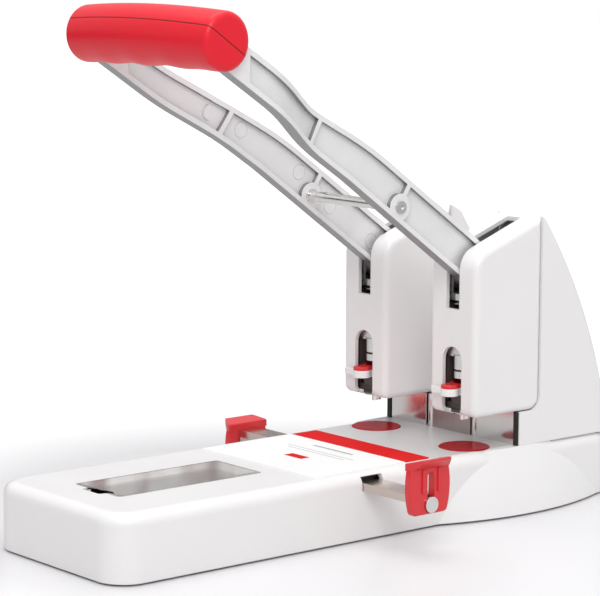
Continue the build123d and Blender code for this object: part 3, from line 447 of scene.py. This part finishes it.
@dataclass(frozen=True)
class Coated(Finish):
    """Sheet, rubber or cloth with a matt skin and fine pimples."""

    grain: float = 1500.0

    DUST: ClassVar[float] = 80.0
    DEPTH: ClassVar[float] = 0.04 * MM

    def varied(self, graph: Graph) -> dict[str, Any]:
        """Return a dusty colour and a fine orange peel."""
        dust = graph.noise(self.DUST, detail=5.0)
        fine = graph.noise(self.grain, detail=2.0)
        return {
            "Base Color": self.tones(graph, dust, dark=0.8, light=1.25),
            "Roughness": self.uneven((dust, 0.2)),
            "Normal": self.relief(graph, fine, self.DEPTH),
        }


@dataclass(frozen=True)
class Printed(Finish):
    """White guide card with a plain red field, a red patch and grey rules, no lettering."""

    ink: Colour = (0.72, 0.012, 0.012)
    rule: Colour = (0.42, 0.42, 0.43)
    field_y: Span = (0.0, 1.0)
    patch: Box = (0.0, 0.01, 0.0, 0.01)
    rules: tuple[Box, ...] = ()

    MOTTLE: ClassVar[float] = 700.0
    DEPTH: ClassVar[float] = 0.01 * MM

    @staticmethod
    def inside(x: Value, y: Value, box: Box) -> Value:
        """Return 1 inside a box, else 0."""
        return (x > box[0]) * (x < box[1]) * (y > box[2]) * (y < box[3])

    def constants(self) -> dict[str, Any]:
        """Return the card's lack of sheen."""
        return {"Specular IOR Level": 0.02}

    def varied(self, graph: Graph) -> dict[str, Any]:
        """Return the print, its ink slightly mottled, on smooth card."""
        x, y, _ = graph.axes(graph.place())
        mottle = graph.noise(self.MOTTLE, detail=3.0)
        band = (y > self.field_y[0]) * (y < self.field_y[1])
        red = band + self.inside(x, y, self.patch)
        lines = self.inside(x, y, self.rules[0])
        for box in self.rules[1:]:
            lines = lines + self.inside(x, y, box)
        paper = self.tones(graph, mottle, dark=0.985, light=1.01)
        ink = graph.blend(mottle, self.ink, tuple(part * 0.93 for part in self.ink))
        return {
            "Base Color": graph.blend(red, graph.blend(lines, paper, self.rule), ink),
            "Roughness": self.uneven((mottle, 0.1)),
            "Normal": graph.bump(mottle, self.DEPTH),
        }


@dataclass(frozen=True)
class FloorFinish(Finish):
    """White floor with a faint gloss, which fades into the white surround away from the object."""

    lift: float = 0.62
    fade: Span = (0.22, 0.44)  # distances over which the lift sets in
    bounce: Colour = (0.66, 0.65, 0.655)

    CLOUD: ClassVar[float] = 3.0

    def constants(self) -> dict[str, Any]:
        """Return the strength of the lift."""
        return {"Emission Strength": self.lift}

    def varied(self, graph: Graph) -> dict[str, Any]:
        """Return a nearly even white and its lift for the camera, and a duller white as light."""
        cloud = graph.noise(self.CLOUD, detail=2.0)
        seen = graph.node("ShaderNodeLightPath", output="Is Camera Ray")
        away = graph.node("ShaderNodeVectorMath", {"operation": "LENGTH"},
                          {0: graph.place()}, output="Value")
        lift = graph.node("ShaderNodeMapRange", None, {0: away, 1: self.fade[0], 2: self.fade[1]})
        shown = self.tones(graph, cloud, dark=1.0, light=1.01)
        return {
            "Base Color": graph.blend(seen, self.bounce, shown),
            "Emission Color": graph.blend(seen * lift, (0.0, 0.0, 0.0), (1.0, 1.0, 1.0)),
        }


WHITE = Moulded("white_shell_gloss", (0.88, 0.87, 0.872), 0.30, 0.6 * MM)
LOCK_WHITE = Moulded("lock_white", (0.80, 0.80, 0.79), 0.34, 0.3 * MM)
RED = Moulded("red_gloss", (0.70, 0.012, 0.030), 0.30, 0.5 * MM, coat=0.08, specular=0.25)
DISC_RED = Moulded("disc_red", (0.42, 0.004, 0.012), 0.24, 0.4 * MM, coat=0.0, specular=0.06)
GRIP_RED = PartedGrip("grip_red", (0.80, 0.007, 0.024), 0.40, 0.8 * MM, coat=0.10, specular=0.36,
                      middle=(-120.5 * MM, 288.8 * MM))
CAST = Cast("cast_arm", (0.88, 0.875, 0.88), 0.40, 0.7 * MM)
STAINLESS = Polished("stainless_lid", (1.0, 0.90, 0.865), 0.22, 0.3 * MM, Grain.LENGTHWISE)
BED_METAL = Brushed("bed_plate_satin", (0.80, 0.79, 0.79), 0.36, 0.2 * MM, Grain.ACROSS,
                    metallic=0.35, streak=0.04)
BAR_METAL = Brushed("bar_plated", (0.66, 0.58, 0.53), 0.20, 0.3 * MM, Grain.ACROSS)
WALL_METAL = Brushed("throat_brushed", (0.46, 0.41, 0.395), 0.34, 0.2 * MM, Grain.UPRIGHT,
                     metallic=0.9, streak=0.35)
MIRROR = Plated("ground_steel", (0.78, 0.77, 0.76), 0.14)
ZINC = Plated("zinc_plated", (0.60, 0.60, 0.58), 0.28)
WIRE = Plated("spring_wire", (0.40, 0.40, 0.42), 0.30, 0.1 * MM)
BRONZE = Plated("bronze_bush", (0.55, 0.40, 0.20), 0.34)
FRAME = Coated("phosphated_frame", (0.070, 0.058, 0.055), 0.48)
PLATE = Coated("black_plate", (0.03, 0.03, 0.032), 0.50)
TRAY = Coated("black_tray", (0.035, 0.035, 0.037), 0.55)
RUBBER = Coated("black_rubber", (0.02, 0.02, 0.021), 0.72, grain=2400.0)
FLOOR = FloorFinish("pale_floor", (0.80, 0.795, 0.81), 0.30)
FLAG = Coated("flag_cloth", (0.02, 0.018, 0.018), 0.9)


# ---------------------------------------------------------------- helpers
def dress(nodes: dict[str, bpy.types.Object], names: Iterable[str], finish: Finish) -> None:
    """Give CAD nodes a finish.

    Args:
        nodes: The CAD nodes by name.
        names: Names of the nodes to finish.
        finish: The finish that they take.
    """
    material = finish.make()
    for name in names:
        mesh = nodes[name].data
        mesh.materials.clear()
        mesh.materials.append(material)
        LOG.info("finished %s with %s", name, finish.name)


def both(*stems: str) -> list[str]:
    """Return the right and left names of each stem."""
    return [f"{stem}_{side}" for stem in stems for side in ("right", "left")]


def new_piece(name: str, mesh: bpy.types.Mesh) -> bpy.types.Object:
    """Link a mesh as an object at the origin and return it."""
    piece = bpy.data.objects.new(name, mesh)
    bpy.context.scene.collection.objects.link(piece)
    LOG.info("made %s with %d faces", name, len(mesh.polygons))
    return piece


def flat_piece(name: str, points: list[Point], finish: Finish) -> bpy.types.Object:
    """Make an object of one face and return it."""
    mesh = bpy.data.meshes.new(name)
    mesh.from_pydata(points, [], [tuple(range(len(points)))])
    mesh.materials.append(finish.make())
    return new_piece(name, mesh)


def smooth_by_angle(mesh: bpy.types.Mesh, degrees: float) -> None:
    """Shade a mesh smooth, with sharp edges over an angle."""
    mesh.shade_smooth()
    mesh.set_sharp_from_angle(angle=math.radians(degrees))


# ---------------------------------------------------------------- geometry nodes
class Shape(Graph):
    """A Geometry Nodes tree with named inputs that is turned into a plain mesh."""

    def __init__(self, name: str, sizes: dict[str, float]) -> None:
        """Start the tree.

        Args:
            name: Name of the tree.
            sizes: Its named inputs and their values.
        """
        super().__init__(bpy.data.node_groups.new(name, "GeometryNodeTree"))
        self.sizes = sizes
        self.ids = {}
        face = self.tree.interface
        for key in sizes:
            socket = face.new_socket(key, in_out="INPUT", socket_type="NodeSocketFloat")
            self.ids[key] = socket.identifier
        face.new_socket("Shape", in_out="OUTPUT", socket_type="NodeSocketGeometry")
        self.entry = self.tree.nodes.new("NodeGroupInput")

    def given(self, key: str) -> Value:
        """Return a named input."""
        return Value(self, self.entry.outputs[key])

    def bake(self, name: str, shape: Value, finish: Finish) -> bpy.types.Mesh:
        """End the tree and turn its result into a mesh.

        Args:
            name: Name of the mesh.
            shape: The geometry to finish.
            finish: The finish that it takes.

        Returns:
            The mesh, with no modifier left.
        """
        real = self.node("GeometryNodeRealizeInstances", None, {0: shape})
        finished = self.node("GeometryNodeSetMaterial", None, {0: real, "Material": finish.make()})
        end = self.tree.nodes.new("NodeGroupOutput")
        self.tree.links.new(finished.socket, end.inputs[0])
        holder = bpy.data.objects.new(name + "_holder", bpy.data.meshes.new(name + "_holder"))
        bpy.context.scene.collection.objects.link(holder)
        modifier = holder.modifiers.new("shape", "NODES")
        modifier.node_group = self.tree
        for key, size in self.sizes.items():
            modifier[self.ids[key]] = size
        seen = holder.evaluated_get(bpy.context.evaluated_depsgraph_get())
        mesh = bpy.data.meshes.new_from_object(seen)
        mesh.name = name
        holder.modifiers.remove(modifier)
        bpy.data.objects.remove(holder)
        return mesh


# ---------------------------------------------------------------- studio
@dataclass(frozen=True)
class Lamp:
    """A square studio lamp."""

    name: str
    place: Point
    target: Point
    side: float
    watts: float

    def hang(self) -> None:
        """Add the lamp to the scene, pointed at its target."""
        light = bpy.data.lights.new(self.name, "AREA")
        light.energy = self.watts
        light.size = self.side
        lamp = bpy.data.objects.new(self.name, light)
        bpy.context.scene.collection.objects.link(lamp)
        lamp.location = self.place
        way = Vector(self.target) - Vector(self.place)
        lamp.rotation_euler = way.to_track_quat("-Z", "Y").to_euler()


@dataclass
class Studio:
    """Camera, floor, lamps, dark card and the white surround."""

    eye: Point = (1.11632, -0.94448, 0.34823)
    across: Point = (0.63900533, 0.76918835, 0.00463261)
    upward: Point = (-0.11507346, 0.08963928, 0.98930425)
    ahead: Point = (-0.76054604, 0.63270378, -0.14579314)
    focal_pixels: float = 2501.6
    frame_pixels: float = 600.0
    sensor: float = 36.0
    clip: Span = (0.1, 30.0)
    glow_slope: Point = (0.12, 0.06, 0.20)
    glow_level: float = 0.59
    floor_half: float = 6.0
    flag_x: float = -1.3
    flag_y: Span = (-1.6, 1.8)
    flag_z: Span = (0.02, 0.34)
    lamps: tuple[Lamp, ...] = (
        Lamp("key", (1.2, -1.0, 1.5), (0.0, 0.05, 0.12), side=1.0, watts=15.0),
        Lamp("top", (-0.3, 0.1, 1.9), (0.0, 0.0, 0.1), side=1.6, watts=15.0),
    )

    def camera(self) -> None:
        """Place the camera of the photograph."""
        scene = bpy.context.scene
        lens = bpy.data.cameras.new("camera")
        lens.sensor_width = self.sensor
        lens.lens = self.focal_pixels * self.sensor / self.frame_pixels
        lens.clip_start, lens.clip_end = self.clip
        camera = bpy.data.objects.new("camera", lens)
        scene.collection.objects.link(camera)
        rows = (Vector(self.across), Vector(self.upward), -Vector(self.ahead))
        turned = Matrix(rows).transposed().to_4x4()
        turned.translation = Vector(self.eye)
        camera.matrix_world = turned
        scene.camera = camera
        scene.view_settings.view_transform = "Standard"

    def surround(self) -> None:
        """Make the world: white to the camera, softer and brighter from above as light."""
        world = bpy.data.worlds.new("surround")
        bpy.context.scene.world = world
        world.use_nodes = True
        graph = Graph(world.node_tree)
        x, y, z = graph.axes(graph.node("ShaderNodeTexCoord", output="Generated"))
        slope = self.glow_slope
        glow = x * slope[0] + y * slope[1] + z * slope[2] + self.glow_level
        seen = graph.node("ShaderNodeLightPath", output="Is Camera Ray")
        strength = seen + (1.0 - seen) * glow
        background = world.node_tree.nodes["Background"]
        background.inputs["Color"].default_value = (1.0, 1.0, 1.0, 1.0)
        graph.tree.links.new(strength.socket, background.inputs["Strength"])

    def floor(self) -> None:
        """Lay the pale floor."""
        half = self.floor_half
        points = [(-half, -half, 0), (half, -half, 0), (half, half, 0), (-half, half, 0)]
        floor = flat_piece("floor", points, FLOOR)

    def flag(self) -> None:
        """Hang the dark card on the far side of the object, where only reflections show it."""
        (near, far), (low, high) = self.flag_y, self.flag_z
        sides = ((near, low), (far, low), (far, high), (near, high))
        card = flat_piece("dark_flag", [(self.flag_x, y, z) for y, z in sides], FLAG)
        card.visible_camera = False
        card.visible_diffuse = False
        card.visible_shadow = False

    def build(self) -> None:
        """Set up the whole studio."""
        self.camera()
        self.surround()
        self.floor()
        self.flag()
        for lamp in self.lamps:
            lamp.hang()


# ---------------------------------------------------------------- sub-assemblies
@dataclass
class Base:
    """Long bed housing, its plate, feet, screws and compartment."""

    nodes: dict[str, bpy.types.Object]

    def dress(self) -> None:
        """Finish the CAD nodes of the base."""
        dress(self.nodes, ["base_housing"], WHITE)
        dress(self.nodes, ["bottom_plate"], PLATE)
        dress(self.nodes, ["rubber_feet"], RUBBER)
        dress(self.nodes, ["base_screws", "frame_bolts"], ZINC)
        dress(self.nodes, ["compartment_tray"] + both("bar_guide"), TRAY)
        dress(self.nodes, ["spares_cover"], STAINLESS)


@dataclass
class Bed:
    """Bed plate, guide card, discs and what closes the throat."""

    nodes: dict[str, bpy.types.Object]
    corner: float = 2.0 * MM
    steps: int = 6
    field_depth: float = 20.0 * MM
    heading: float = 32.0 * MM  # from the rear edge to the first rule
    rules: tuple[Point, ...] = (  # half length, way in front of the heading, and thickness
        (18.0 * MM, 0.0, 2.2 * MM),
        (30.0 * MM, 9.0 * MM, 0.8 * MM),
        (26.0 * MM, 13.0 * MM, 0.8 * MM),
    )
    patch_half: float = 8.0 * MM
    patch_y: Span = (27.0 * MM, 34.0 * MM)  # from the front edge

    def print_finish(self, front: float, back: float) -> Printed:
        """Return the finish of the card, whose print is measured from its edges."""
        top = back - self.heading
        rules = tuple((-half, half, top - drop, top - drop + thick)
                      for half, drop, thick in self.rules)
        low, high = self.patch_y
        patch = (-self.patch_half, self.patch_half, front + low, front + high)
        return Printed("guide_card_print", (0.90, 0.90, 0.90), 0.42,
                       field_y=(back - self.field_depth, back), patch=patch, rules=rules)

    def outline(self, low: Vector, high: Vector) -> list[Span]:
        """Return the card's outline with round corners, anticlockwise."""
        points = []
        middle = (low.y + high.y) / 2
        for cx, cy, start in ((high.x, high.y, 0), (low.x, high.y, 90),
                              (low.x, low.y, 180), (high.x, low.y, 270)):
            inward_x = cx - math.copysign(self.corner, cx)
            inward_y = cy - math.copysign(self.corner, cy - middle)
            for step in range(self.steps + 1):
                angle = math.radians(start + 90 * step / self.steps)
                points.append((inward_x + self.corner * math.cos(angle),
                               inward_y + self.corner * math.sin(angle)))
        return points

    def card(self) -> None:
        """Replace the plain card by a printed sheet with round corners."""
        low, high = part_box("bed_card")
        outline = self.outline(low, high)
        count = len(outline)
        points = [(x, y, low.z) for x, y in outline] + [(x, y, high.z) for x, y in outline]
        faces = [tuple(range(count - 1, -1, -1)), tuple(range(count, 2 * count))]
        faces += [(i, (i + 1) % count, count + (i + 1) % count, count + i) for i in range(count)]
        mesh = bpy.data.meshes.new("guide_sheet")
        mesh.from_pydata(points, [], faces)
        mesh.materials.append(self.print_finish(low.y, high.y).make())
        sheet = new_piece("guide_sheet", mesh)
        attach(sheet, "punch_body")
        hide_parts("bed_card")

    def dress(self) -> None:
        """Finish the CAD nodes of the bed and the throat."""
        dress(self.nodes, ["bed_plate"], BED_METAL)
        dress(self.nodes, both("cutting_disc"), DISC_RED)
        dress(self.nodes, ["throat_wall"], WALL_METAL)
        dress(self.nodes, ["back_plates", "throat_posts"], MIRROR)
        dress(self.nodes, ["throat_pads"], RUBBER)

    def build(self) -> None:
        """Dress the nodes and make the card."""
        self.dress()
        self.card()


@dataclass
class SideGauges:
    """The two sliding bars with their paper stops."""

    nodes: dict[str, bpy.types.Object]

    def dress(self) -> None:
        """Finish the CAD nodes of both gauges."""
        dress(self.nodes, both("guide_bar"), BAR_METAL)
        dress(self.nodes, both("bar_pin"), MIRROR)
        dress(self.nodes, both("side_stop"), RED)


@dataclass
class Towers:
    """Covers, rear housing and the punch mechanism inside."""

    nodes: dict[str, bpy.types.Object]
    stroke: float = 16.021 * MM

    def springs(self) -> None:
        """Give each return spring a mesh of its own."""
        for side in ("left", "right"):
            spring = self.nodes["return_spring_" + side]
            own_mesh(spring)

    def dress(self) -> None:
        """Finish the CAD nodes of the towers."""
        dress(self.nodes, both("tower_cover", "rear_housing") + ["rear_bridge"], WHITE)
        dress(self.nodes, both("tower_frame", "punch_guide"), FRAME)
        dress(self.nodes, both("ram_guide", "ram", "punch", "drive_pin", "pivot_pin"), MIRROR)
        dress(self.nodes, both("return_spring"), WIRE)
        dress(self.nodes, both("lock_lever"), LOCK_WHITE)
        dress(self.nodes, both("lock_cap"), RED)
        dress(self.nodes, ["retaining_rings"], ZINC)

    def build(self) -> None:
        """Dress the nodes and give the springs meshes of their own."""
        self.dress()
        self.springs()


@dataclass
class Lever:
    """Two cast arms, their rod and the grip."""

    nodes: dict[str, bpy.types.Object]
    face_y: float = 69.5 * MM  # front of the towers
    marks: tuple[Point, ...] = (  # on the left arm, in millimetres, y from the front of the towers
        (-41.6, -120.5, 242.4),
        (-38.5, -99.1, 231.1),
        (-38.5, -54.5, 203.7),
        (-38.5, -29.8, 181.4),
        (-38.5, 3.7, 157.4),
    )
    mark_radius: float = 4.6 * MM
    mark_steps: int = 36
    wire_radius: float = 0.28 * MM
    wire_steps: int = 8
    sharp_over: float = 60.0

    def ring_marks(self) -> None:
        """Set the round ejector marks on the webs of both arms."""
        shape = Shape("ejector_marks", {"Radius": self.mark_radius, "Wire": self.wire_radius})
        circle = "GeometryNodeCurvePrimitiveCircle"
        ring = shape.node(circle, {"mode": "RADIUS"},
                          {"Resolution": self.mark_steps, "Radius": shape.given("Radius")})
        wire = shape.node(circle, {"mode": "RADIUS"},
                          {"Resolution": self.wire_steps, "Radius": shape.given("Wire")})
        torus = shape.node("GeometryNodeCurveToMesh", None, {0: ring, 1: wire})
        upright = shape.node("GeometryNodeTransform", None,
                             {0: torus, "Rotation": (0.0, math.pi / 2, 0.0)})
        join = shape.tree.nodes.new("GeometryNodeJoinGeometry")
        for side in (-1.0, 1.0):
            for x, y, z in self.marks:
                place = (-side * x * MM, self.face_y + y * MM, z * MM)
                mark = shape.node("GeometryNodeTransform", None, {0: upright, "Translation": place})
                shape.tree.links.new(mark.socket, join.inputs[0])
        mesh = shape.bake("ejector_marks", Value(shape, join.outputs[0]), CAST)
        smooth_by_angle(mesh, self.sharp_over)
        marks = new_piece("ejector_marks", mesh)
        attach(marks, "lever")

    def dress(self) -> None:
        """Finish the CAD nodes of the lever."""
        dress(self.nodes, both("arm"), CAST)
        dress(self.nodes, ["cross_rod"], MIRROR)
        dress(self.nodes, ["cross_screws"], ZINC)
        dress(self.nodes, ["grip_tube"], FRAME)
        dress(self.nodes, ["pivot_bushes"], BRONZE)
        dress(self.nodes, ["grip_upper_shell", "grip_lower_shell"], GRIP_RED)

    def build(self) -> None:
        """Dress the nodes and add the marks."""
        self.dress()
        self.ring_marks()


def main() -> None:
    """Build the scene in order."""
    logging.basicConfig(level=logging.INFO, format="%(name)s: %(message)s")
    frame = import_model()
    nodes = frame["nodes"]
    Studio().build()
    Base(nodes).dress()
    Bed(nodes).build()
    SideGauges(nodes).dress()
    Towers(nodes).build()
    Lever(nodes).build()


if __name__ == "__main__":
    main()
